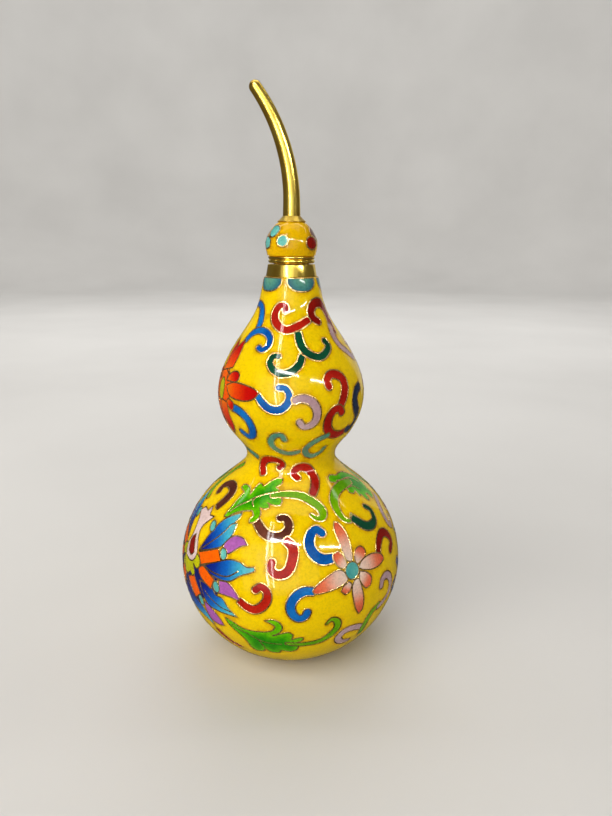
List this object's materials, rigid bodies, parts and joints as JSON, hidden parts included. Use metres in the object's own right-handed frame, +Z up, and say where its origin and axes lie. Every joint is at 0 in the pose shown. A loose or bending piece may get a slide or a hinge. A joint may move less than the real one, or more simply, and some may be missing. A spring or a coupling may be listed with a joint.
{
  "type": "gourd bottle",
  "caption": "Small enamelled double-gourd bottle with a brass neck collar and a lift-off domed stopper that carries a curved brass stem.",
  "frame": {"origin": "centre of the foot ring, on the surface the bottle stands on", "axes": "+Z up along the bottle axis, -X towards the side the stem leans to"},
  "size_m": [0.046, 0.046, 0.1129],
  "materials": {
    "base_enamel": "gloss",
    "copper": "satin",
    "cork": "matte",
    "counter_enamel": "gloss",
    "yellow_enamel": "gloss",
    "brass": "polished",
    "solder": "satin"
  },
  "bodies": {
    "bottle": {"base_enamel": "base_enamel", "copper_body_lower": "copper", "copper_body_upper": "copper", "counter_enamel": "counter_enamel", "enamel_ground": "yellow_enamel", "foot_ring": "brass", "neck_collar": "brass", "waist_solder_seam": "solder"},
    "cork": {"cork_sleeve": "cork"},
    "stopper": {"nut_washer": "brass", "stem": "brass", "stem_flange": "brass", "stem_nut": "brass", "stopper_dome": "copper", "stopper_enamel": "yellow_enamel", "stopper_plug": "brass", "stopper_rim": "brass"}
  },
  "joints": [
    {"name": "stopper_lift", "type": "slide", "parent": "bottle", "child": "cork", "axis": [0, 0, 1], "range_m": [0, 0.03]},
    {"name": "stopper_turn", "type": "hinge", "parent": "cork", "child": "stopper", "pos_m": [0, 0, 0.0805], "axis": [0, 0, 1], "continuous": true}
  ]
}
